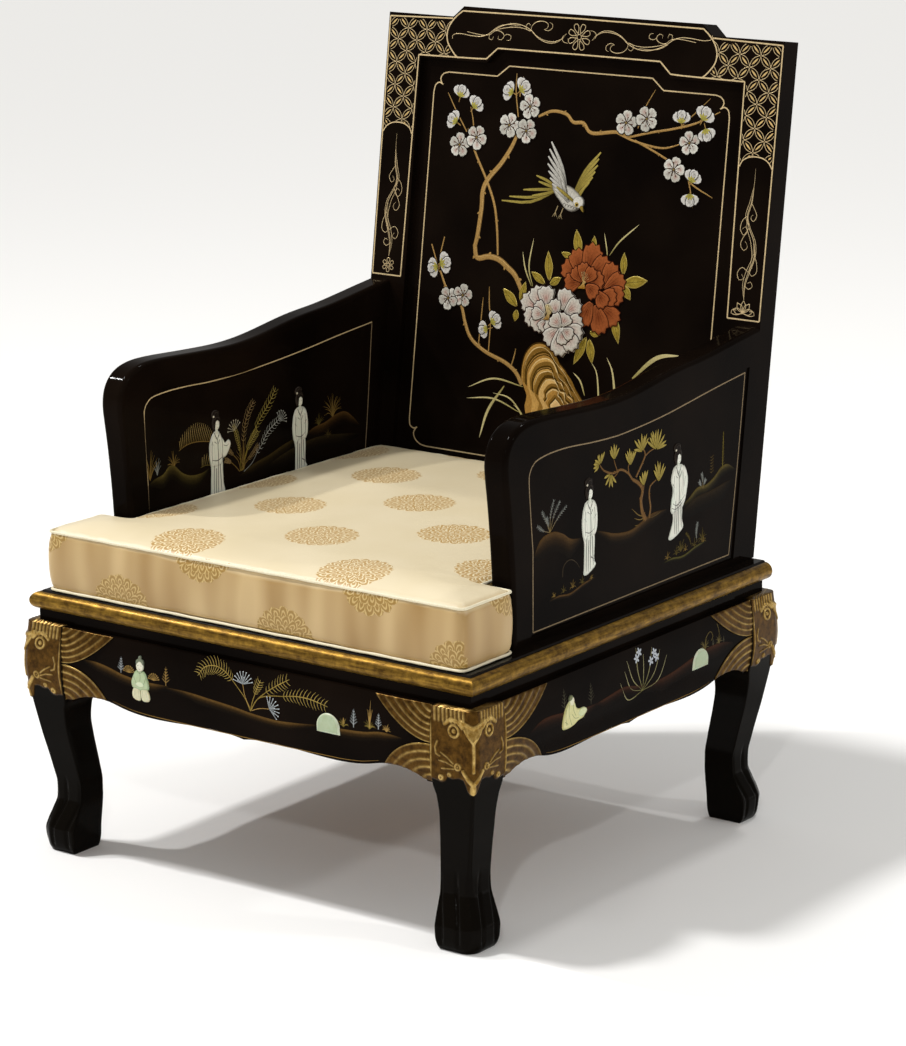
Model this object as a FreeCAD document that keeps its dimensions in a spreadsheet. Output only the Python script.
import FreeCAD, Part
import math
import os
from types import SimpleNamespace

# A lacquered wooden armchair with a loose seat cushion, in millimetres.
# It faces -Y, +X is on the right seen from the front, and the floor is at zero.
# The seat frame is drawn about its own middle. Every piece is then set back along Y,
# so that the origin lies under the middle of the whole chair, raked back included.

V = FreeCAD.Vector
doc = FreeCAD.newDocument("armchair")

sizes = {
    # seat frame: mitred members with a half-round nose, and a board let into them
    "seat_width": 635.0,
    "seat_depth": 610.0,
    "seat_top": 315.7,
    "rail_thickness": 22.2,
    "rail_width": 60.0,
    "nose_height": 20.4,
    "seat_board_thickness": 10.0,
    "seat_board_rebate": 10.0,
    "seat_board_gap": 0.5,
    "batten_width": 40.0,
    "batten_height": 22.0,
    "batten_spacing": 230.0,
    # recessed waist between the seat frame and the aprons
    "waist_height": 13.5,
    "waist_setback": 8.5,
    "waist_thickness": 20.0,
    # legs, whose two outer faces are set out from a line inside the nose
    "leg_line_inset": 5.25,
    "leg_width": 58.0,
    "leg_joint_inset": 47.75,
    "leg_edge_round": 1.5,
    # aprons
    "apron_height": 88.5,
    "apron_thickness": 22.0,
    "apron_face_top": 5.3,
    "apron_face_middle": 9.3,
    "apron_face_bottom": 3.5,
    "apron_arch": 11.0,
    # corner blocks and their screws
    "block_reach": 50.0,
    "block_height": 34.0,
    "block_gap": 0.4,
    "screw_length": 60.0,
    "screw_diameter": 4.0,
    "screw_head_diameter": 8.0,
    "screw_head_height": 2.6,
    "screw_clearance": 0.3,
    "screw_seat_depth": 4.0,
    # back: stiles, crest rail, bottom rail and a panel in a groove
    "back_rake": 7.61,
    "back_thickness": 31.0,
    "back_overhang": 4.0,
    "back_length": 629.8,
    "back_inset": 28.85,
    "stile_width": 53.0,
    "crest_height": 67.0,
    "crest_shoulder": 13.4,
    "crest_step_run": 15.0,
    "crest_top_width": 348.8,
    "crest_underside_width": 268.0,
    "crest_underside_rise": 16.2,
    "back_bottom_rail": 55.0,
    "back_panel_recess": 8.0,
    "back_panel_thickness": 10.0,
    "back_groove_depth": 6.0,
    "back_panel_gap": 0.5,
    "back_batten_height": 42.0,
    "back_batten_thickness": 9.0,
    # arms: a frame with two thin panels rebated into its faces
    "arm_front_setback": 117.0,
    "arm_height": 280.0,
    "arm_thickness": 31.0,
    "arm_edge_round": 6.0,
    "arm_rail_height": 8.0,
    "arm_front_width": 33.0,
    "arm_rear_width": 16.0,
    "arm_top_depth": 37.0,
    "arm_panel_recess": 2.0,
    "arm_panel_thickness": 6.0,
    "arm_panel_ledge": 6.0,
    "arm_panel_gap": 0.2,
    # dowels
    "dowel_diameter": 9.0,
    "dowel_depth_up": 24.0,
    "dowel_depth_down": 14.0,
    "dowel_clearance": 0.2,
    # shell and stone inlays
    "inlay_thickness": 0.8,
    "lady_height": 110.0,
    "lady_width": 36.0,
    "child_height": 50.0,
    "child_width": 28.0,
    "crouched_height": 32.0,
    "crouched_width": 48.0,
    "half_disc_radius": 16.0,
    "half_disc_foot": 6.0,
    # loose cushion: a T with two ears that pass in front of the arms
    "cushion_thickness": 73.0,
    "cushion_crown": 10.0,
    "cushion_front_setback": 11.0,
    "cushion_ear_inset": 21.0,
    "cushion_ear_length": 95.0,
    "cushion_arm_gap": 1.0,
    "cushion_back_gap": 2.0,
    "cushion_side_bulge": 2.5,
    "cushion_draw_in": 3.0,
    "cushion_corner_round": 9.0,
    "cushion_inside_round": 5.0,
    "cushion_lift_gap": 0.3,
    "cover_thickness": 1.2,
    "foam_gap": 0.3,
    "piping_diameter": 4.4,
    "piping_clearance": 1.2,
    "zip_end_gap": 52.0,
    "zip_height": 7.0,
    "zip_thickness": 1.2,
    "zip_slider": 9.0,
    # how far a cutting tool runs past what it cuts
    "overrun": 5.0,
}

sheet = doc.addObject("Spreadsheet::Sheet", "sizes")
for row, (alias, value) in enumerate(sizes.items(), start=1):
    sheet.set(f"A{row}", alias)
    sheet.set(f"B{row}", str(value))
    sheet.setAlias(f"B{row}", alias)
doc.recompute()
s = SimpleNamespace(**{alias: float(sheet.get(alias)) for alias in sizes})

# Leg sections from the floor up: height as a share of the leg's height to the top of the
# knee, then the outer faces, the inner faces and the outer corner's rounding as shares of
# the leg's width, the faces measured outwards from the leg line.
leg_section_shares = [
    (0.000, -0.060, -0.815, 0.155),
    (0.021, 0.002, -0.850, 0.200),
    (0.052, 0.058, -0.880, 0.190),
    (0.092, 0.080, -0.888, 0.172),
    (0.134, -0.009, -0.893, 0.138),
    (0.180, -0.110, -0.897, 0.103),
    (0.232, -0.184, -0.897, 0.086),
    (0.290, -0.198, -0.891, 0.086),
    (0.360, -0.153, -0.853, 0.069),
    (0.430, -0.093, -0.812, 0.069),
    (0.500, -0.026, -0.772, 0.069),
    (0.571, 0.033, -0.745, 0.069),
    (0.636, 0.086, -0.764, 0.069),
    (0.684, 0.125, -0.823, 0.090),
    (0.735, 0.172, -0.823, 0.150),
    (0.815, 0.207, -0.823, 0.170),
    (0.910, 0.181, -0.823, 0.160),
    (1.000, 0.138, -0.823, 0.150),
]

# The arm's outer edge from the front foot over the rounded nose to the back, as shares of
# the arm's length at the seat and of its height at the back.
arm_edge_shares = [
    (0.000, 0.000),
    (-0.004, 0.250),
    (-0.015, 0.464),
    (-0.029, 0.643),
    (-0.035, 0.736),
    (-0.026, 0.807),
    (0.002, 0.861),
    (0.043, 0.889),
    (0.103, 0.898),
    (0.200, 0.892),
    (0.307, 0.883),
    (0.414, 0.879),
    (0.511, 0.889),
    (0.608, 0.911),
    (0.704, 0.932),
    (0.812, 0.946),
    (0.940, 0.971),
    (1.080, 1.000),
]

# Places that follow from the sizes.
half_width = s.seat_width / 2
half_depth = s.seat_depth / 2
frame_bottom = s.seat_top - s.rail_thickness
apron_top = frame_bottom - s.waist_height
apron_bottom = apron_top - s.apron_height
leg_line_x = half_width - s.leg_line_inset
leg_line_y = half_depth - s.leg_line_inset
joint_x = leg_line_x - s.leg_joint_inset
joint_y = leg_line_y - s.leg_joint_inset
apron_inner_x = leg_line_x + s.apron_face_middle - s.apron_thickness
apron_inner_y = leg_line_y + s.apron_face_middle - s.apron_thickness
waist_x = half_width - s.waist_setback
waist_y = half_depth - s.waist_setback

rake = math.radians(s.back_rake)
back_front = half_depth + s.back_overhang - s.back_thickness / math.cos(rake)
back_half = half_width - s.back_inset
stile_length = s.back_length - s.crest_height
stile_inner = back_half - s.stile_width
knee_share = max(outer for height, outer, inner, rounding in leg_section_shares)
front_reach = leg_line_y + knee_share * s.leg_width
rear_reach = back_front + s.back_length * math.sin(rake) + s.back_thickness * math.cos(rake)
set_back = (front_reach - rear_reach) / 2

arm_middle_x = back_half - s.arm_thickness / 2
arm_inner_x = back_half - s.arm_thickness
arm_front = s.arm_front_setback - half_depth
arm_length = back_front - arm_front

home = FreeCAD.Placement(V(0, set_back, 0), FreeCAD.Rotation())
raked = FreeCAD.Placement(
    V(0, back_front + set_back, s.seat_top), FreeCAD.Rotation(V(1, 0, 0), -s.back_rake)
)
at_arm = FreeCAD.Placement(V(arm_middle_x, set_back, s.seat_top), FreeCAD.Rotation())

subparts = []


def keep(piece, label):
    """Name a finished sub-part and put it on the list of those that are written."""
    piece.Label = label
    subparts.append(piece)
    return piece


def polygon(points):
    """Straight edges round a closed outline."""
    ends = points[1:] + points[:1]
    return [Part.LineSegment(V(*a, 0), V(*b, 0)) for a, b in zip(points, ends)]


def arc(first, middle, last):
    """A circular edge through three points of a sketch."""
    found = Part.Circle(V(*first, 0), V(*middle, 0), V(*last, 0))
    turn = (V(*middle, 0) - V(*first, 0)).cross(V(*last, 0) - V(*middle, 0)).z
    if turn < 0:
        first, last = last, first
    start, end = [math.atan2(p[1] - found.Center.y, p[0] - found.Center.x) for p in (first, last)]
    if end < start:
        end += math.tau
    return Part.ArcOfCircle(Part.Circle(found.Center, V(0, 0, 1), found.Radius), start, end)


def spline(points):
    """A smooth edge through the points of a sketch."""
    curve = Part.BSplineCurve()
    curve.interpolate([V(*p, 0) for p in points])
    return curve


def rounded_square(low, high, outer_round, inner_round):
    """A leg's section in the front right corner: low and high are its x and -y reach."""
    diagonal = math.sqrt(0.5)
    left, right = low[0], high[0]
    back, front = -low[1], -high[1]
    corners = [
        (left, front, 1, 1, inner_round),
        (right, front, -1, 1, outer_round),
        (right, back, -1, -1, inner_round),
        (left, back, 1, -1, inner_round),
    ]
    stops = []
    for x, y, inward_x, inward_y, r in corners:
        first = (x, y + inward_y * r) if inward_x == inward_y else (x + inward_x * r, y)
        last = (x + inward_x * r, y) if inward_x == inward_y else (x, y + inward_y * r)
        bulge = r * (1 - diagonal)
        stops.append((first, (x + inward_x * bulge, y + inward_y * bulge), last))
    edges = []
    for index, (first, middle, last) in enumerate(stops):
        edges.append(arc(first, middle, last))
        following = stops[(index + 1) % len(stops)][0]
        edges.append(Part.LineSegment(V(*last, 0), V(*following, 0)))
    return edges


def new_body(label, placement):
    body = doc.addObject("PartDesign::Body", label)
    body.Label = label
    body.Placement = placement
    return body


def sketch_on(body, role, edges, offset=None):
    """A sketch on one of the body's own planes, moved along its normal by an expression."""
    sketch = body.newObject("Sketcher::SketchObject", body.Name + "_outline")
    plane = next(feature for feature in body.Origin.OriginFeatures if feature.Role == role)
    sketch.AttachmentSupport = (plane, [""])
    sketch.MapMode = "FlatFace"
    if offset is not None:
        sketch.setExpression("AttachmentOffset.Base.z", offset)
    for edge in edges:
        sketch.addGeometry(edge, False)
    return sketch


def pad(body, sketch, length, side="Symmetric", reverse=False):
    """Add the sketch's area, drawn out by an expression of the sheet."""
    feature = body.newObject("PartDesign::Pad", body.Name + "_pad")
    feature.Profile = sketch
    feature.SideType = side
    feature.Reversed = reverse
    feature.setExpression("Length", length)
    doc.recompute()
    return feature


def pocket(body, sketch, length=None, reverse=False):
    """Cut the sketch's area away: through both ways, or by a depth from the sheet."""
    before = body.Shape.Volume
    feature = body.newObject("PartDesign::Pocket", body.Name + "_pocket")
    feature.Profile = sketch
    feature.Reversed = reverse
    if length is None:
        feature.Type = "ThroughAll"
        feature.SideType = "Symmetric"
    else:
        feature.setExpression("Length", length)
    doc.recompute()
    if not body.Shape.Volume < before:
        raise ValueError(f"{feature.Label} cut nothing")
    return feature


def block(label, corner, length, width, height, placement=home):
    """A plain board: its three sizes are expressions, its lowest corner is in the chair."""
    board = doc.addObject("Part::Box", label)
    board.Label = label
    board.setExpression("Length", length)
    board.setExpression("Width", width)
    board.setExpression("Height", height)
    board.Placement = placement.multiply(FreeCAD.Placement(V(*corner), FreeCAD.Rotation()))
    return board


def rod(label, diameter, length, foot, along, placement=home):
    """A round rod from its foot, its diameter and length given as expressions."""
    cylinder = doc.addObject("Part::Cylinder", label)
    cylinder.Label = label
    cylinder.setExpression("Radius", f"({diameter}) / 2")
    cylinder.setExpression("Height", length)
    turned = FreeCAD.Rotation(V(0, 0, 1), V(*along))
    cylinder.Placement = placement.multiply(FreeCAD.Placement(V(*foot), turned))
    return cylinder


def cut(label, base, tool):
    result = doc.addObject("Part::Cut", label)
    result.Base = base
    result.Tool = tool
    result.Label = label
    return result


def common(label, base, tool):
    result = doc.addObject("Part::Common", label)
    result.Base = base
    result.Tool = tool
    result.Label = label
    return result


def joined(label, pieces):
    result = doc.addObject("Part::MultiFuse", label)
    result.Shapes = pieces
    result.Label = label
    return result


def group(label, pieces):
    """Separate solids of one kind under one name."""
    result = doc.addObject("Part::Compound", label)
    result.Links = pieces
    result.Label = label
    return result


def mirrored(label, source, normal):
    """The same piece on the other side of the seat frame's middle."""
    result = doc.addObject("Part::Mirroring", label)
    result.Source = source
    result.Base = V(0, set_back, 0)
    result.Normal = V(*normal)
    result.Label = label
    return result


ACROSS = (1, 0, 0)
ALONG = (0, 1, 0)

# Dowel places under each arm and each back stile, as x and y in the seat frame.
dowel_front_y = arm_front + s.arm_front_width / 2
dowel_rear_y = back_front - s.arm_rear_width / 2
stile_dowel_x = back_half - s.stile_width / 4
stile_dowel_y = back_front + s.back_thickness / 2
arm_dowel_places = [(arm_middle_x, dowel_front_y), (arm_middle_x, dowel_rear_y)]


def circles(places, diameter):
    return [Part.Circle(V(x, y, 0), V(0, 0, 1), diameter / 2) for x, y in places]


dowel_hole = s.dowel_diameter + 2 * s.dowel_clearance


def member_profile(outer):
    """A seat member's section: across from the nose at outer inwards, and up."""
    sense = math.copysign(1, outer)
    nose = s.nose_height / 2
    low, high = frame_bottom, s.seat_top
    step = high - low - s.nose_height
    ledge = high - s.seat_board_thickness
    inner = outer - sense * s.rail_width
    rebate = inner + sense * s.seat_board_rebate
    shoulder = outer - sense * nose
    edges = [arc((shoulder, low), (outer, low + nose), (shoulder, low + s.nose_height))]
    points = [
        (shoulder, low + s.nose_height),
        (shoulder - sense * step, high),
        (rebate, high),
        (rebate, ledge),
        (inner, ledge),
        (inner, low),
        (shoulder, low),
    ]
    edges += polygon(points)[:-1]
    return edges


def front_mitre(side):
    """The waste outside the 45 degree joint at one end of the front member."""
    past = s.overrun
    reach = s.rail_width + past
    corner = (side * (half_width + past), -half_depth - past)
    inner = (side * (half_width - reach), -half_depth + reach)
    beyond = (side * (half_width + past), -half_depth + reach)
    return polygon([corner, beyond, inner])


def side_mitre():
    """The waste outside the same joint at the front end of a side member."""
    past = s.overrun
    reach = s.rail_width + past
    corner = (half_width + past, -half_depth - past)
    inner = (half_width - reach, -half_depth + reach)
    beyond = (half_width - reach, -half_depth - past)
    return polygon([corner, beyond, inner])


# Seat frame. The front member and the two sides carry the nose and meet in mitres, and the
# plain rear member lies between the sides.
front_member = new_body("seat_rail_front", home)
pad(front_member, sketch_on(front_member, "YZ_Plane", member_profile(-half_depth)), "sizes.seat_width")
waste = front_mitre(-1) + front_mitre(1)
pocket(front_member, sketch_on(front_member, "XY_Plane", waste))
keep(front_member, "seat_rail_front")

side_member = new_body("seat_rail_right", home)
pad(side_member, sketch_on(side_member, "XZ_Plane", member_profile(half_width)), "sizes.seat_depth")
pocket(side_member, sketch_on(side_member, "XY_Plane", side_mitre()))
dowel_places = arm_dowel_places + [(stile_dowel_x, stile_dowel_y)]
holes = circles(dowel_places, dowel_hole)
pocket(
    side_member,
    sketch_on(side_member, "XY_Plane", holes, "sizes.seat_top"),
    "sizes.dowel_depth_down",
)
keep(side_member, "seat_rail_right")
keep(mirrored("seat_rail_left", side_member, ACROSS), "seat_rail_left")

rear_member = new_body("seat_rail_rear", home)
rear_inner = half_depth - s.rail_width
rear_ledge = s.seat_top - s.seat_board_thickness
rear_section = [
    (half_depth, frame_bottom),
    (half_depth, s.seat_top),
    (rear_inner + s.seat_board_rebate, s.seat_top),
    (rear_inner + s.seat_board_rebate, rear_ledge),
    (rear_inner, rear_ledge),
    (rear_inner, frame_bottom),
]
pad(
    rear_member,
    sketch_on(rear_member, "YZ_Plane", polygon(rear_section)),
    "sizes.seat_width - 2 * sizes.rail_width",
)
keep(rear_member, "seat_rail_rear")

# The board lies in the members' rebates and the battens run under it, front to back.
board_inset = s.rail_width - s.seat_board_rebate + s.seat_board_gap
keep(
    block(
        "seat_board",
        (board_inset - half_width, board_inset - half_depth, rear_ledge),
        "sizes.seat_width - 2 * (sizes.rail_width - sizes.seat_board_rebate + sizes.seat_board_gap)",
        "sizes.seat_depth - 2 * (sizes.rail_width - sizes.seat_board_rebate + sizes.seat_board_gap)",
        "sizes.seat_board_thickness",
    ),
    "seat_board",
)
for label, sense in (("seat_batten_left", -1), ("seat_batten_right", 1)):
    middle = sense * s.batten_spacing / 2
    keep(
        block(
            label,
            (middle - s.batten_width / 2, s.rail_width - half_depth, rear_ledge - s.batten_height),
            "sizes.batten_width",
            "sizes.seat_depth - 2 * sizes.rail_width",
            "sizes.batten_height",
        ),
        label,
    )

# Waist: four plain strips set back under the nose, the sides between the front and rear.
waist_front = block(
    "waist_front",
    (-waist_x, -waist_y, apron_top),
    "sizes.seat_width - 2 * sizes.waist_setback",
    "sizes.waist_thickness",
    "sizes.waist_height",
)
keep(waist_front, "waist_front")
keep(mirrored("waist_rear", waist_front, ALONG), "waist_rear")
waist_side = block(
    "waist_right",
    (waist_x - s.waist_thickness, s.waist_thickness - waist_y, apron_top),
    "sizes.waist_thickness",
    "sizes.seat_depth - 2 * (sizes.waist_setback + sizes.waist_thickness)",
    "sizes.waist_height",
)
keep(waist_side, "waist_right")
keep(mirrored("waist_left", waist_side, ACROSS), "waist_left")

# Leg: one tapering S-shaped piece under a full knee, with a square post that rises behind
# the waist to the seat frame. A pilot hole for the corner block's screw runs in from inside.
leg = new_body("leg_front_right_blank", home)
leg_sections = []
for height, outer, inner, rounding in leg_section_shares:
    low = [line + inner * s.leg_width for line in (leg_line_x, leg_line_y)]
    high = [line + outer * s.leg_width for line in (leg_line_x, leg_line_y)]
    section = rounded_square(low, high, rounding * s.leg_width, s.leg_edge_round)
    level = f"(sizes.seat_top - sizes.rail_thickness - sizes.waist_height) * {height}"
    leg_sections.append(sketch_on(leg, "XY_Plane", section, level))
loft = leg.newObject("PartDesign::AdditiveLoft", "leg_loft")
loft.Profile = leg_sections[0]
loft.Sections = leg_sections[1:]
loft.Ruled = True
doc.recompute()
post_outer_x = waist_x - s.waist_thickness
post_outer_y = waist_y - s.waist_thickness
post = polygon(
    [
        (joint_x, -post_outer_y),
        (post_outer_x, -post_outer_y),
        (post_outer_x, -joint_y),
        (joint_x, -joint_y),
    ]
)
knee_level = "sizes.seat_top - sizes.rail_thickness - sizes.waist_height"
pad(leg, sketch_on(leg, "XY_Plane", post, knee_level), "sizes.waist_height", "One side")

# Corner block: fills the corner between two aprons behind the leg, with a screw through it
# along the diagonal into the leg.
block_level = apron_top - s.block_height
corner_block = new_body("corner_block_blank", home)
block_x = joint_x - s.block_gap
block_y = s.block_gap - joint_y
block_outline = polygon(
    [
        (block_x, -apron_inner_y),
        (block_x, block_y),
        (apron_inner_x, block_y),
        (apron_inner_x, s.block_reach - joint_y),
        (joint_x - s.block_reach, -apron_inner_y),
    ]
)
block_offset = f"{knee_level} - sizes.block_height"
pad(
    corner_block,
    sketch_on(corner_block, "XY_Plane", block_outline, block_offset),
    "sizes.block_height",
    "One side",
)

diagonal = math.sqrt(0.5)
screw_level = apron_top - s.block_height / 2
# The block's long face lies halfway between its two far corners.
face_x = (apron_inner_x + joint_x - s.block_reach) / 2
face_y = (-apron_inner_y + s.block_reach - joint_y) / 2
toward_leg = (diagonal, -diagonal, 0)
head_x = face_x + s.screw_seat_depth * diagonal
head_y = face_y - s.screw_seat_depth * diagonal
outside = s.screw_seat_depth + s.overrun
mouth = (face_x - s.overrun * diagonal, face_y + s.overrun * diagonal, screw_level)
screw_hole = rod(
    "screw_hole",
    "sizes.screw_diameter + 2 * sizes.screw_clearance",
    "sizes.screw_length + sizes.screw_clearance",
    (head_x, head_y, screw_level),
    toward_leg,
)
head_hole = rod(
    "screw_head_hole",
    "sizes.screw_head_diameter + 2 * sizes.screw_clearance",
    "sizes.overrun + sizes.screw_seat_depth",
    mouth,
    toward_leg,
)
screw_waste = joined("screw_waste", [screw_hole, head_hole])
leg_front_right = keep(cut("leg_front_right", leg, screw_hole), "leg_front_right")
leg_front_left = keep(mirrored("leg_front_left", leg_front_right, ACROSS), "leg_front_left")
keep(mirrored("leg_rear_right", leg_front_right, ALONG), "leg_rear_right")
keep(mirrored("leg_rear_left", leg_front_left, ALONG), "leg_rear_left")

block_front_right = cut("corner_block_front_right", corner_block, screw_waste)
keep(block_front_right, "corner_block_front_right")
block_front_left = keep(
    mirrored("corner_block_front_left", block_front_right, ACROSS), "corner_block_front_left"
)
keep(mirrored("corner_block_rear_right", block_front_right, ALONG), "corner_block_rear_right")
keep(mirrored("corner_block_rear_left", block_front_left, ALONG), "corner_block_rear_left")

screw_shank = rod(
    "screw_shank", "sizes.screw_diameter", "sizes.screw_length", (head_x, head_y, screw_level), toward_leg
)
screw_head = rod(
    "screw_head",
    "sizes.screw_head_diameter",
    "sizes.screw_head_height",
    (
        head_x - s.screw_head_height * diagonal,
        head_y + s.screw_head_height * diagonal,
        screw_level,
    ),
    toward_leg,
)
screw_front_right = joined("screw_front_right", [screw_shank, screw_head])
screw_front_left = mirrored("screw_front_left", screw_front_right, ACROSS)
screw_rear_right = mirrored("screw_rear_right", screw_front_right, ALONG)
screw_rear_left = mirrored("screw_rear_left", screw_front_left, ALONG)
screws = [screw_front_right, screw_front_left, screw_rear_right, screw_rear_left]
keep(group("corner_block_screws", screws), "corner_block_screws")


def apron_profile(line, sense):
    """An apron's section: a swelling outer face, a flat top, back and underside."""
    middle_height = (apron_top + apron_bottom) / 2
    inner = sense * (line + s.apron_face_middle - s.apron_thickness)
    top = (sense * (line + s.apron_face_top), apron_top)
    middle = (sense * (line + s.apron_face_middle), middle_height)
    bottom = (sense * (line + s.apron_face_bottom), apron_bottom)
    corners = [bottom, (inner, apron_bottom), (inner, apron_top), top]
    return [arc(bottom, middle, top)] + polygon(corners)[:-1]


# The waste under an apron, as shares of its half length and of the arch's rise: flat in the
# middle, a cusp, and a shallow arch beside each leg.
apron_edge_shares = [(0.0, 0.0), (0.50, 0.05), (0.62, 0.25), (0.70, 0.65)]
apron_arch_shares = [(0.70, 0.65), (0.83, 1.0), (0.965, 0.15)]


def apron_waste(half_length):
    """What is sawn away below the apron's shaped lower edge."""
    past = s.overrun
    edges = []
    for sense in (-1, 1):
        places = [
            (sense * across * half_length, apron_bottom + up * s.apron_arch)
            for across, up in apron_edge_shares
        ]
        edges.append(spline(places))
        bow = [
            (sense * across * half_length, apron_bottom + up * s.apron_arch)
            for across, up in apron_arch_shares
        ]
        edges.append(arc(*bow))
        below = apron_bottom - past
        edges.append(Part.LineSegment(V(*bow[-1], 0), V(bow[-1][0], below, 0)))
    far = apron_arch_shares[-1][0] * half_length
    edges.append(Part.LineSegment(V(-far, below, 0), V(far, below, 0)))
    return edges


apron_front = new_body("apron_front", home)
profile = apron_profile(leg_line_y, -1)
pad(
    apron_front,
    sketch_on(apron_front, "YZ_Plane", profile),
    "sizes.seat_width - 2 * (sizes.leg_line_inset + sizes.leg_joint_inset)",
)
pocket(apron_front, sketch_on(apron_front, "XZ_Plane", apron_waste(joint_x)))
keep(apron_front, "apron_front")
keep(mirrored("apron_rear", apron_front, ALONG), "apron_rear")

apron_right = new_body("apron_right", home)
profile = apron_profile(leg_line_x, 1)
pad(
    apron_right,
    sketch_on(apron_right, "XZ_Plane", profile),
    "sizes.seat_depth - 2 * (sizes.leg_line_inset + sizes.leg_joint_inset)",
)
pocket(apron_right, sketch_on(apron_right, "YZ_Plane", apron_waste(joint_y)))
keep(apron_right, "apron_right")
keep(mirrored("apron_left", apron_right, ACROSS), "apron_left")

# Back. It is drawn upright in its own frame, z up the slope from the seat and y through the
# thickness from the front face, and then leaned back.
foot_rise = s.back_thickness * math.tan(rake)


def back_outline(grow, foot):
    """The back panel's field, grown on all sides but its foot, which is given."""
    wide = stile_inner + grow
    shoulder = stile_length + grow
    rise = shoulder + s.crest_underside_rise
    outer = s.crest_underside_width / 2 + grow * math.tan(math.pi / 8)
    inner = outer - s.crest_step_run
    right = [(wide, foot), (wide, shoulder), (outer, shoulder), (inner, rise)]
    left = [(-x, z) for x, z in reversed(right)]
    return polygon(right + left)


groove_front = "-sizes.back_panel_recess"
groove_outline = back_outline(s.back_groove_depth, s.back_bottom_rail - s.back_groove_depth)

stile = new_body("back_stile_right_blank", raked)
stile_side = polygon(
    [
        (0, 0),
        (s.back_thickness, foot_rise),
        (s.back_thickness, stile_length),
        (0, stile_length),
    ]
)
pad(
    stile,
    sketch_on(stile, "YZ_Plane", stile_side, "sizes.seat_width / 2 - sizes.back_inset - sizes.stile_width"),
    "sizes.stile_width",
    "One side",
)
pocket(
    stile,
    sketch_on(stile, "XZ_Plane", groove_outline, groove_front),
    "sizes.back_panel_thickness",
    reverse=False,
)
crest_dowel_y = s.back_thickness / 2
pocket(
    stile,
    sketch_on(
        stile,
        "XY_Plane",
        circles([(stile_dowel_x, crest_dowel_y)], dowel_hole),
        "sizes.back_length - sizes.crest_height",
    ),
    "sizes.dowel_depth_up",
)
foot_hole = rod(
    "stile_foot_hole",
    "sizes.dowel_diameter + 2 * sizes.dowel_clearance",
    "sizes.dowel_depth_up + sizes.dowel_clearance + sizes.overrun",
    (stile_dowel_x, stile_dowel_y, s.seat_top - s.overrun),
    (0, 0, 1),
)
stile_right = keep(cut("back_stile_right", stile, foot_hole), "back_stile_right")
keep(mirrored("back_stile_left", stile_right, ACROSS), "back_stile_left")

crest = new_body("crest_rail", raked)
top_half = s.crest_top_width / 2
under_half = s.crest_underside_width / 2
right_side = [
    (under_half - s.crest_step_run, stile_length + s.crest_underside_rise),
    (under_half, stile_length),
    (back_half, stile_length),
    (back_half, s.back_length - s.crest_shoulder),
    (top_half + s.crest_step_run, s.back_length - s.crest_shoulder),
    (top_half, s.back_length),
]
left_side = [(-x, z) for x, z in reversed(right_side)]
pad(
    crest,
    sketch_on(crest, "XZ_Plane", polygon(right_side + left_side)),
    "sizes.back_thickness",
    "One side",
    reverse=True,
)
pocket(
    crest,
    sketch_on(crest, "XZ_Plane", groove_outline, groove_front),
    "sizes.back_panel_thickness",
)
crest_holes = circles([(-stile_dowel_x, crest_dowel_y), (stile_dowel_x, crest_dowel_y)], dowel_hole)
pocket(
    crest,
    sketch_on(crest, "XY_Plane", crest_holes, "sizes.back_length - sizes.crest_height"),
    "sizes.dowel_depth_up",
    reverse=True,
)
keep(crest, "crest_rail")

bottom_rail = new_body("back_bottom_rail", raked)
rail_side = polygon(
    [
        (0, 0),
        (s.back_thickness, foot_rise),
        (s.back_thickness, s.back_bottom_rail),
        (0, s.back_bottom_rail),
    ]
)
pad(
    bottom_rail,
    sketch_on(bottom_rail, "YZ_Plane", rail_side),
    "sizes.seat_width - 2 * (sizes.back_inset + sizes.stile_width)",
)
pocket(
    bottom_rail,
    sketch_on(bottom_rail, "XZ_Plane", groove_outline, groove_front),
    "sizes.back_panel_thickness",
)
keep(bottom_rail, "back_bottom_rail")

panel = new_body("back_panel", raked)
panel_grow = s.back_groove_depth - s.back_panel_gap
panel_outline = back_outline(panel_grow, s.back_bottom_rail - s.back_groove_depth)
pad(
    panel,
    sketch_on(panel, "XZ_Plane", panel_outline, groove_front),
    "sizes.back_panel_thickness",
    "One side",
    reverse=True,
)
keep(panel, "back_panel")
batten_level = (s.back_bottom_rail + stile_length - s.back_batten_height) / 2
keep(
    block(
        "back_batten",
        (-stile_inner, s.back_panel_recess + s.back_panel_thickness, batten_level),
        "sizes.seat_width - 2 * (sizes.back_inset + sizes.stile_width)",
        "sizes.back_batten_thickness",
        "sizes.back_batten_height",
        raked,
    ),
    "back_batten",
)

back_dowels = []
for side, sense in (("left", -1), ("right", 1)):
    back_dowels.append(
        rod(
            f"stile_dowel_{side}",
            "sizes.dowel_diameter",
            "sizes.dowel_depth_up + sizes.dowel_depth_down",
            (sense * stile_dowel_x, stile_dowel_y, s.seat_top - s.dowel_depth_down),
            (0, 0, 1),
        )
    )
    back_dowels.append(
        rod(
            f"crest_dowel_{side}",
            "sizes.dowel_diameter",
            "2 * sizes.dowel_depth_up",
            (sense * stile_dowel_x, crest_dowel_y, stile_length - s.dowel_depth_up),
            (0, 0, 1),
            raked,
        )
    )
keep(group("back_dowels", back_dowels), "back_dowels")

# Arm. Its outline is drawn from the side about the middle of its thickness: y from the seat
# frame's middle and z up from the seat.
arm_edge = [
    (arm_front + along * arm_length, up * s.arm_height) for along, up in arm_edge_shares
]
arm_meets_back = (back_front + s.arm_height * math.tan(rake), s.arm_height)
arm_edge[-1] = arm_meets_back

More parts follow.
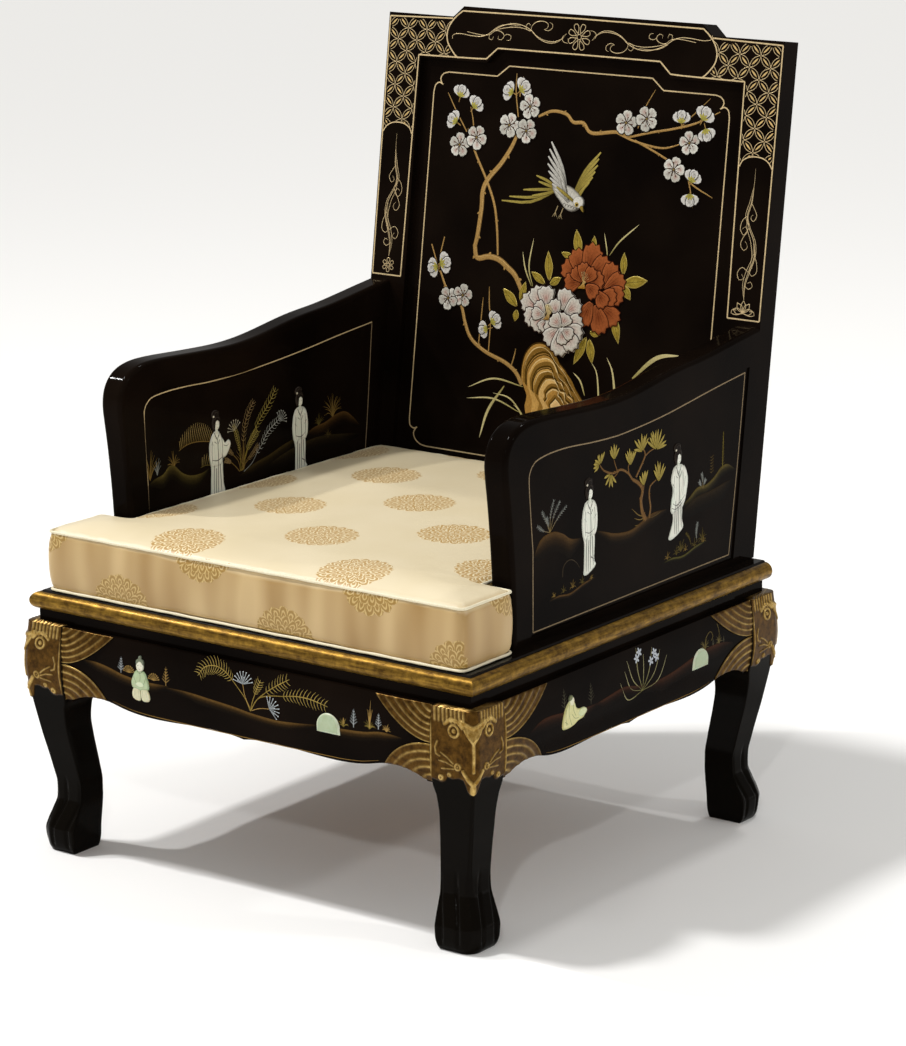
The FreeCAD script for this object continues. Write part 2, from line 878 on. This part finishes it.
# The panel's outline inside the frame: the top follows the arm's edge at an even depth, and
# the front runs up inside the post to a rounded shoulder behind the nose.
nose_share = arm_edge_shares[4][1]
shoulder_drop_share = 0.62
leaning_post_share = 1.24
crown_start_share = 0.085
shoulder_bend_shares = (0.3, 0.72)
level_top = arm_edge[7:-2]
nose_joint = nose_share * s.arm_height - shoulder_drop_share * s.arm_front_width


def arm_opening(grow):
    """The visible edge of an arm's panel, grown outwards all round."""
    depth = s.arm_top_depth - grow
    low = s.arm_rail_height - grow
    front_low = (arm_front + s.arm_front_width - grow, low)
    front_high = (arm_edge[4][0] + leaning_post_share * s.arm_front_width - grow, nose_joint)
    crown = [(y, z - depth) for y, z in level_top]
    crown[0] = (arm_front + crown_start_share * arm_length, level_top[0][1] - depth)
    rear_top_z = arm_edge[-2][1] - depth
    rear_high = (back_front + rear_top_z * math.tan(rake) - s.arm_rear_width + grow, rear_top_z)
    rear_low = (back_front + low * math.tan(rake) - s.arm_rear_width + grow, low)
    across, up = shoulder_bend_shares
    bend = (
        front_high[0] + across * (crown[0][0] - front_high[0]),
        front_high[1] + up * (crown[0][1] - front_high[1]),
    )
    return [
        Part.LineSegment(V(*front_low, 0), V(*front_high, 0)),
        arc(front_high, bend, crown[0]),
        spline(crown + [rear_high]),
        Part.LineSegment(V(*rear_high, 0), V(*rear_low, 0)),
        Part.LineSegment(V(*rear_low, 0), V(*front_low, 0)),
    ]


ring = new_body("arm_frame_blank", at_arm)
foot = Part.LineSegment(V(back_front, 0, 0), V(arm_front, 0, 0))
back_edge = Part.LineSegment(V(*arm_meets_back, 0), V(back_front, 0, 0))
arm_sketch = sketch_on(ring, "YZ_Plane", [spline(arm_edge), back_edge, foot])
arm_blank = pad(ring, arm_sketch, "sizes.arm_thickness")
# The two long outer edges lie in the faces, and are as long and as tall as the arm.
outer_edges = []
for index, edge in enumerate(ring.Shape.Edges, start=1):
    box = edge.BoundBox
    long_enough = box.YLength + s.arm_front_width > arm_length
    tall_enough = box.ZLength + s.arm_front_width > s.arm_height
    if box.XLength < s.arm_thickness / 2 and long_enough and tall_enough:
        outer_edges.append(f"Edge{index}")
rounding = ring.newObject("PartDesign::Fillet", "arm_edge_rounding")
rounding.Base = (arm_blank, outer_edges)
rounding.setExpression("Radius", "sizes.arm_edge_round")
doc.recompute()
pocket(ring, sketch_on(ring, "YZ_Plane", arm_opening(-s.arm_panel_ledge)))
rebate_depth = "sizes.arm_panel_recess + sizes.arm_panel_thickness"
pocket(ring, sketch_on(ring, "YZ_Plane", arm_opening(0), "sizes.arm_thickness / 2"), rebate_depth)
pocket(
    ring,
    sketch_on(ring, "YZ_Plane", arm_opening(0), "-sizes.arm_thickness / 2"),
    rebate_depth,
    reverse=True,
)
arm_holes = circles([(0, dowel_front_y), (0, dowel_rear_y)], dowel_hole)
pocket(ring, sketch_on(ring, "XY_Plane", arm_holes), "sizes.dowel_depth_up", reverse=True)

# The frame is parted at its joints: posts in front and behind, a rail at the foot, and the
# shaped top rail over them, which keeps the rounded nose.
past = s.overrun
front_joint = arm_front + s.arm_front_width + s.arm_panel_ledge
rear_joint = back_front - s.arm_rear_width - s.arm_panel_ledge
rear_top = nose_joint + s.arm_top_depth
low_x = -s.arm_thickness / 2 - past
front_region = block(
    "front_post_region",
    (low_x, front_joint - s.arm_front_setback, -past),
    "sizes.arm_thickness + 2 * sizes.overrun",
    "sizes.arm_front_setback",
    f"sizes.overrun + {nose_joint / s.arm_height} * sizes.arm_height",
    at_arm,
)
rear_region = block(
    "rear_post_region",
    (low_x, rear_joint, -past),
    "sizes.arm_thickness + 2 * sizes.overrun",
    "sizes.arm_front_setback",
    f"sizes.overrun + {rear_top / s.arm_height} * sizes.arm_height",
    at_arm,
)
foot_region = block(
    "foot_rail_region",
    (low_x, front_joint, -past),
    "sizes.arm_thickness + 2 * sizes.overrun",
    f"{(rear_joint - front_joint) / arm_length} * {arm_length / s.arm_height} * sizes.arm_height",
    "sizes.overrun + sizes.arm_rail_height + sizes.arm_panel_ledge",
    at_arm,
)
posts_and_foot = joined("posts_and_foot", [front_region, rear_region, foot_region])
arm_pieces = [
    common("arm_front_post_right", ring, front_region),
    common("arm_rear_post_right", ring, rear_region),
    common("arm_foot_rail_right", ring, foot_region),
    cut("arm_top_rail_right", ring, posts_and_foot),
]
arm_offsets = {
    "outer": "sizes.arm_thickness / 2 - sizes.arm_panel_recess - sizes.arm_panel_thickness",
    "inner": "sizes.arm_panel_recess - sizes.arm_thickness / 2",
}
for face, offset in arm_offsets.items():
    arm_panel = new_body(f"arm_panel_{face}_right", at_arm)
    pad(
        arm_panel,
        sketch_on(arm_panel, "YZ_Plane", arm_opening(-s.arm_panel_gap), offset),
        "sizes.arm_panel_thickness",
        "One side",
    )
    arm_pieces.append(arm_panel)
for piece in arm_pieces:
    label = piece.Label
    keep(piece, label)
    left = label.replace("right", "left")
    keep(mirrored(left, piece, ACROSS), left)

arm_dowels = []
for x, y in arm_dowel_places:
    for sense in (-1, 1):
        arm_dowels.append(
            rod(
                "arm_dowel",
                "sizes.dowel_diameter",
                "sizes.dowel_depth_up + sizes.dowel_depth_down",
                (sense * x, y, s.seat_top - s.dowel_depth_down),
                (0, 0, 1),
            )
        )
keep(group("arm_dowels", arm_dowels), "arm_dowels")

# Inlays: small cut plates of shell and soapstone that stand just proud of the lacquer.
# A robed figure's outline is given as shares of its width and height from the hem's middle.
robe_shares = [
    (-0.42, 0.02),
    (0.0, -0.01),
    (0.42, 0.02),
    (0.40, 0.25),
    (0.36, 0.50),
    (0.45, 0.72),
    (0.30, 0.84),
    (0.12, 0.88),
    (0.14, 0.97),
    (0.0, 1.0),
    (-0.14, 0.97),
    (-0.12, 0.88),
    (-0.30, 0.84),
    (-0.45, 0.72),
    (-0.36, 0.50),
    (-0.40, 0.25),
]


def figure(middle, hem, width, height):
    return [(middle + across * width, hem + up * height) for across, up in robe_shares]


def half_disc(middle, foot):
    """Straight sides under a half round top."""
    level = foot + s.half_disc_foot
    steps = 12
    turns = [math.pi * step / steps for step in range(steps + 1)]
    radius = s.half_disc_radius
    top = [(middle + radius * math.cos(a), level + radius * math.sin(a)) for a in turns]
    return [(middle + radius, foot)] + top + [(middle - radius, foot)]


def arm_inlay(name, along, up, offset):
    """One shell figure on an arm's panel, placed along the arm and up to its hem."""
    middle = arm_front + along * arm_length
    outline = polygon(figure(middle, up * s.arm_height, s.lady_width, s.lady_height))
    plate = new_body(name, at_arm)
    pad(plate, sketch_on(plate, "YZ_Plane", outline, offset), "sizes.inlay_thickness", "One side")
    return plate


# Places of the figures, as shares of the arm's length and height: along, and up to the hem.
panel_face = "sizes.arm_thickness / 2 - sizes.arm_panel_recess"
figure_faces = {
    "outer": (panel_face, [(0.318, 0.193), (0.709, 0.213)]),
    "inner": (f"-({panel_face}) - sizes.inlay_thickness", [(0.341, 0.220), (0.683, 0.220)]),
}
for face, (offset, places) in figure_faces.items():
    plates = []
    for number, (along, up) in enumerate(places, start=1):
        plates.append(arm_inlay(f"shell_figure_{face}_{number}", along, up, offset))
    right_figures = keep(group(f"shell_figures_{face}_right", plates), f"shell_figures_{face}_right")
    left_label = f"shell_figures_{face}_left"
    keep(mirrored(left_label, right_figures, ACROSS), left_label)


def apron_inlay(label, apron, outlines, facing):
    """Thin plates that follow an apron's swelling face, cut to the outlines."""
    skin = apron.Shape.copy()
    skin.translate(V(*facing) * s.inlay_thickness)
    skin = skin.cut(apron.Shape)
    plates = []
    for points in outlines:
        if facing[0]:
            corners = [V(joint_x, a + set_back, b) for a, b in points]
        else:
            corners = [V(a, set_back - joint_y, b) for a, b in points]
        face = Part.Face(Part.makePolygon(corners + corners[:1]))
        plates += skin.common(face.extrude(V(*facing) * s.leg_width * 2)).Solids
    piece = doc.addObject("Part::Feature", label)
    piece.Shape = Part.makeCompound(plates)
    return keep(piece, label)


# A crouched figure, as shares of its width and height from its middle.
crouched_shares = [
    (-0.45, 0.0),
    (0.15, -0.05),
    (0.50, 0.10),
    (0.45, 0.30),
    (0.15, 0.38),
    (0.05, 0.75),
    (-0.10, 1.0),
    (-0.25, 0.95),
    (-0.40, 0.55),
]

# The aprons' inlays, placed as shares of the apron's half length and of its height.
child_at = (-0.555, 0.235)
front_disc_at = (0.473, 0.355)
crouched_at = (-0.465, 0.260)
side_disc_at = (0.549, 0.365)


def on_apron(place, half_length):
    return place[0] * half_length, apron_bottom + place[1] * s.apron_height


child_x, child_z = on_apron(child_at, joint_x)
crouched_y, crouched_z = on_apron(crouched_at, joint_y)
crouched = [
    (crouched_y + across * s.crouched_width, crouched_z + up * s.crouched_height)
    for across, up in crouched_shares
]
front_outlines = [
    figure(child_x, child_z, s.child_width, s.child_height),
    half_disc(*on_apron(front_disc_at, joint_x)),
]
side_outlines = [crouched, half_disc(*on_apron(side_disc_at, joint_y))]
apron_inlay("stone_inlays_front", apron_front, front_outlines, (0, -1, 0))
right_inlays = apron_inlay("stone_inlays_right", apron_right, side_outlines, (1, 0, 0))
keep(mirrored("stone_inlays_left", right_inlays, ACROSS), "stone_inlays_left")

# Cushion. Its plan is a T: the body lies between the arms and two ears pass in front of
# them. The sides are drawn in between the corners and swell at half height, and the top is
# crowned.
cushion_foot = s.seat_top + s.cushion_lift_gap
cushion_front = s.cushion_front_setback - half_depth
ear_back = cushion_front + s.cushion_ear_length
pipe = s.piping_diameter / 2
body_half = arm_inner_x - s.cushion_arm_gap - s.piping_diameter - s.foam_gap
ear_half = half_width - s.cushion_ear_inset
cushion_back = back_front - s.cushion_back_gap - s.piping_diameter


# The crown's last section is drawn in from the seam by these shares of the ear's length, and
# its corners are sharper by the last share.
crown_side_share = 0.8
crown_front_share = 0.4
crown_corner_share = 0.5


def cushion_plan(level, inset, lean=0.0, draw=0.0, shrink=0.0):
    """One closed section of the cushion: inset all round, drawn in along its long sides,
    leaned back at the rear, and shrunk to its spine for the crown."""
    ear_inset = inset + shrink * crown_front_share * s.cushion_ear_length
    side_inset = inset + shrink * crown_side_share * s.cushion_ear_length
    front = cushion_front + ear_inset
    ear = ear_back - ear_inset + shrink * s.cushion_corner_round / 4
    back = cushion_back + lean - side_inset
    wide = ear_half - side_inset
    narrow = body_half - side_inset
    r = s.cushion_corner_round * (1 - shrink * crown_corner_share)
    q = s.cushion_inside_round
    tuck = r * (1 - math.sqrt(0.5))
    nip = q * (1 - math.sqrt(0.5))
    right = []

    def straight(a, b, inward):
        middle = V((a[0] + b[0]) / 2 + inward[0] * draw, (a[1] + b[1]) / 2 + inward[1] * draw, level)
        if draw and any(inward):
            right.append(Part.Arc(V(*a, level), middle, V(*b, level)).toShape())
        else:
            right.append(Part.LineSegment(V(*a, level), V(*b, level)).toShape())

    def corner(a, m, b):
        right.append(Part.Arc(V(*a, level), V(*m, level), V(*b, level)).toShape())

    straight((-wide + r, front), (wide - r, front), (0, 1))
    corner((wide - r, front), (wide - tuck, front + tuck), (wide, front + r))
    straight((wide, front + r), (wide, ear - r), (0, 0))
    corner((wide, ear - r), (wide - tuck, ear - tuck), (wide - r, ear))
    straight((wide - r, ear), (narrow + q, ear), (0, 0))
    corner((narrow + q, ear), (narrow + nip, ear + nip), (narrow, ear + q))
    straight((narrow, ear + q), (narrow, back - r), (-1, 0))
    corner((narrow, back - r), (narrow - tuck, back - tuck), (narrow - r, back))
    straight((narrow - r, back), (-narrow + r, back), (0, -1))
    corner((-narrow + r, back), (-narrow + tuck, back - tuck), (-narrow, back - r))
    straight((-narrow, back - r), (-narrow, ear + q), (1, 0))
    corner((-narrow, ear + q), (-narrow - nip, ear + nip), (-narrow - q, ear))
    straight((-narrow - q, ear), (-wide + r, ear), (0, 0))
    corner((-wide + r, ear), (-wide + tuck, ear - tuck), (-wide, ear - r))
    straight((-wide, ear - r), (-wide, front + r), (0, 0))
    corner((-wide, front + r), (-wide + tuck, front + tuck), (-wide + r, front))
    return Part.Wire(right)


# The sides' sections: height as a share of the thickness, then how far each is inset and
# drawn in, as shares of the bulge and of the draw.
side_section_shares = [
    (0.0, 1.0, 0.0),
    (0.15, 0.0, 1.0),
    (0.5, -0.5, 0.6),
    (0.85, 0.0, 1.0),
    (1.0, 1.0, 0.0),
]
# The crown's middle section: its height as a share of the crown, and its inset in bulges.
crown_middle_shares = (0.45, 4.0)


def cushion_form(skin):
    """The cushion's closed form, inside by skin all round."""
    tall = s.cushion_thickness
    bulge = s.cushion_side_bulge
    sides = []
    for height, inset, draw in side_section_shares:
        level = min(max(height * tall, skin), tall - skin)
        lean = height * tall * math.tan(rake)
        plan = cushion_plan(cushion_foot + level, skin + inset * bulge, lean, draw * s.cushion_draw_in)
        sides.append(plan)
    rise, middle_inset = crown_middle_shares
    middle_level = cushion_foot + tall + rise * s.cushion_crown - skin
    top_level = cushion_foot + tall + s.cushion_crown - skin
    crown = [
        sides[-1],
        cushion_plan(middle_level, skin + middle_inset * bulge, lean),
        cushion_plan(top_level, skin + bulge, lean, 0, 1.0),
    ]
    return Part.makeLoft(sides, True, False).fuse(Part.makeLoft(crown, True, True)).removeSplitter()


outer_form = cushion_form(0)
hollow = cushion_form(s.cover_thickness)
cover = doc.addObject("Part::Feature", "cushion_cover")
cover.Shape = outer_form.cut(hollow)
cover.Placement = home
keep(cover, "cushion_cover")
foam = doc.addObject("Part::Feature", "cushion_foam")
foam.Shape = cushion_form(s.cover_thickness + s.foam_gap)
foam.Placement = home
keep(foam, "cushion_foam")


def piping(label, level, lean):
    """A round cord that runs the whole way along one seam, just clear of the cover."""
    path = cushion_plan(level, s.cushion_side_bulge - pipe - s.piping_clearance, lean)
    start = path.Edges[0].valueAt(path.Edges[0].FirstParameter)
    heading = path.Edges[0].tangentAt(path.Edges[0].FirstParameter)
    ring_section = Part.Wire(Part.makeCircle(pipe, start, heading))
    cord = doc.addObject("Part::Feature", label)
    cord.Shape = path.makePipeShell([ring_section], True, True, 2)
    cord.Placement = home
    return keep(cord, label)


top_lean = s.cushion_thickness * math.tan(rake)
top_seam = s.cushion_thickness - pipe
piping("cushion_piping_bottom", cushion_foot + pipe, 0)
piping("cushion_piping_top", cushion_foot + top_seam, top_seam * math.tan(rake))

zip_half = body_half - s.zip_end_gap
zip_level = cushion_foot + s.cushion_thickness / 2
zip_bow = (s.cushion_side_bulge / 2 - s.cushion_draw_in / 5) + s.zip_height / 2 * math.tan(rake)
zip_y = cushion_back + top_lean / 2 + zip_bow + s.foam_gap
zip_tape = block(
    "zip_tape",
    (-zip_half, zip_y, zip_level - s.zip_height / 2),
    f"{zip_half / half_width} * sizes.seat_width",
    "sizes.zip_thickness",
    "sizes.zip_height",
)
zip_slider = block(
    "zip_slider",
    (zip_half - s.zip_slider, zip_y, zip_level - s.zip_height / 2),
    "sizes.zip_slider",
    "1.6 * sizes.zip_thickness",
    "sizes.zip_height",
)
keep(joined("cushion_zip", [zip_tape, zip_slider]), "cushion_zip")

doc.recompute()
for thing in doc.Objects:
    if {"Invalid", "Error"} & set(thing.State):
        raise ValueError(f"{thing.Label} did not compute")
os.makedirs("parts", exist_ok=True)
for piece in subparts:
    shape = piece.Shape
    if shape.isNull() or not shape.isValid() or not shape.Solids:
        raise ValueError(f"{piece.Label} has no sound solid")
for piece in subparts:
    piece.Shape.exportStep(f"parts/{piece.Label}.step")
    solids = piece.Shape.Solids
    print(piece.Label, len(solids), round(sum(solid.Volume for solid in solids)))
print(len(subparts), "sub-parts")
